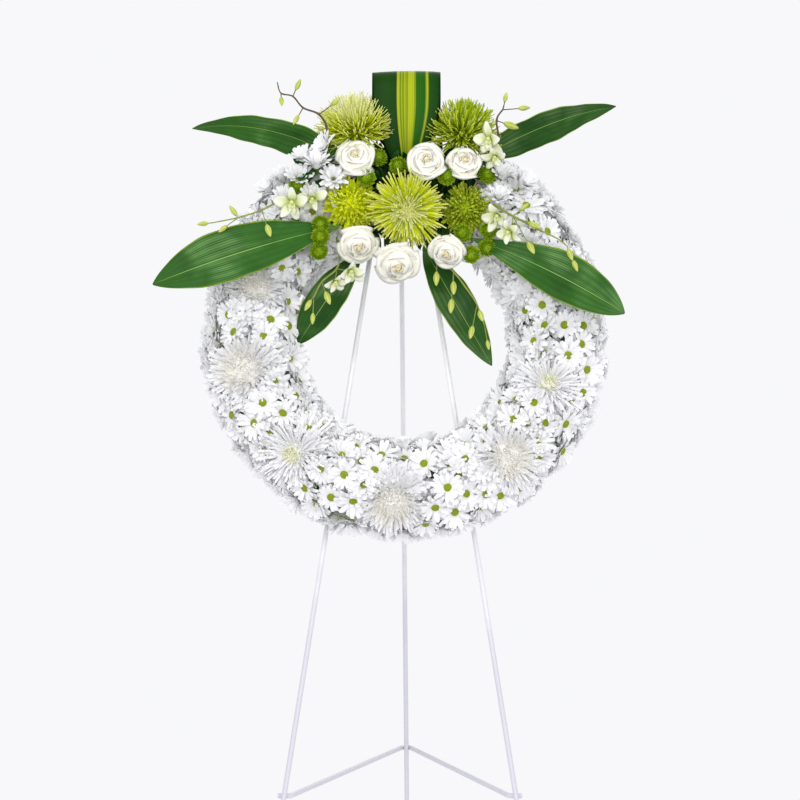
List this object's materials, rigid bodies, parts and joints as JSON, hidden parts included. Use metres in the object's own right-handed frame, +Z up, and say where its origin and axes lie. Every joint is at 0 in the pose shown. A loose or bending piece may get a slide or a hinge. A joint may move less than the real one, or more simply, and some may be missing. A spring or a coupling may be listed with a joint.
{
  "type": "memorial wreath on a folding easel",
  "caption": "Ring of white daisies and mums with a green and white rose spray and folded leaf loop, hung on a folding three-legged wire easel.",
  "frame": {"origin": "on the floor under the middle of the object's box", "axes": "+Z up, the flowers face -Y, +X to the viewer's right"},
  "size_m": [0.58, 0.4925, 1.2009],
  "materials": {
    "white_wire": "white powder coat, satin",
    "zinc": "zinc plated, satin",
    "tray": "moulded dark green plastic",
    "foam": "wet floral foam",
    "white_petal": "fresh petals, matt and slightly translucent",
    "rose_petal": "velvety cream-white petals",
    "green_mum": "fresh lime petals",
    "green_button": "tight green petals",
    "leaf": "glossy dark green leaf with a pale margin",
    "variegated_leaf": "glossy green leaf with yellow stripes",
    "orchid": "waxy pale green buds and blossoms"
  },
  "bodies": {
    "front_frame": {"left_front_leg": "white_wire", "right_front_leg": "white_wire", "left_wreath_hook": "white_wire", "right_wreath_hook": "white_wire", "hinge_bolt": "zinc", "hinge_nut": "zinc", "ring_tray": "tray", "foam_ring": "foam", "daisy_spray_01": "white_petal", "daisy_spray_02": "white_petal", "daisy_spray_03": "white_petal", "daisy_spray_04": "white_petal", "daisy_spray_05": "white_petal", "daisy_spray_06": "white_petal", "daisy_spray_07": "white_petal", "daisy_spray_08": "white_petal", "daisy_spray_09": "white_petal", "daisy_spray_10": "white_petal", "daisy_spray_11": "white_petal", "white_mum_1": "white_petal", "white_mum_2": "white_petal", "white_mum_3": "white_petal", "white_mum_4": "white_petal", "white_mum_5": "white_petal", "white_mum_6": "white_petal", "rose_1": "rose_petal", "rose_2": "rose_petal", "rose_3": "rose_petal", "rose_4": "rose_petal", "rose_5": "rose_petal", "rose_6": "rose_petal", "centre_green_mum": "green_mum", "left_green_mum": "green_mum", "right_green_mum": "green_mum", "top_left_green_mum": "green_mum", "top_right_green_mum": "green_mum", "green_button_spray_1": "green_button", "green_button_spray_2": "green_button", "green_button_spray_3": "green_button", "green_button_spray_4": "green_button", "green_button_spray_5": "green_button", "green_button_spray_6": "green_button", "green_button_spray_7": "green_button", "green_button_spray_8": "green_button", "upper_left_leaf": "leaf", "upper_right_leaf": "leaf", "lower_left_leaf": "leaf", "lower_right_leaf": "leaf", "inner_left_leaf": "leaf", "inner_right_leaf": "leaf", "folded_leaf_loop": "variegated_leaf", "upper_left_orchid": "orchid", "upper_right_orchid": "orchid", "left_orchid": "orchid", "right_orchid": "orchid", "lower_left_orchid": "orchid", "lower_right_orchid": "orchid"},
    "rear_leg": {"rear_leg": "white_wire"},
    "brace": {"spreader_brace": "white_wire"}
  },
  "joints": [
    {"name": "rear_leg_fold", "type": "hinge", "parent": "front_frame", "child": "rear_leg", "pos_m": [0.01386, -0.04117, 1.171], "axis": [1, 0, 0], "range_deg": [-21, 0]},
    {"name": "brace_fold", "type": "hinge", "parent": "front_frame", "child": "brace", "pos_m": [0.01386, -0.18193, 0.3], "axis": [1, 0, 0], "range_deg": [0, 73.5]}
  ],
  "couplings": [
    {"joint": "brace_fold", "follows": "rear_leg_fold", "ratio": -3.5}
  ]
}
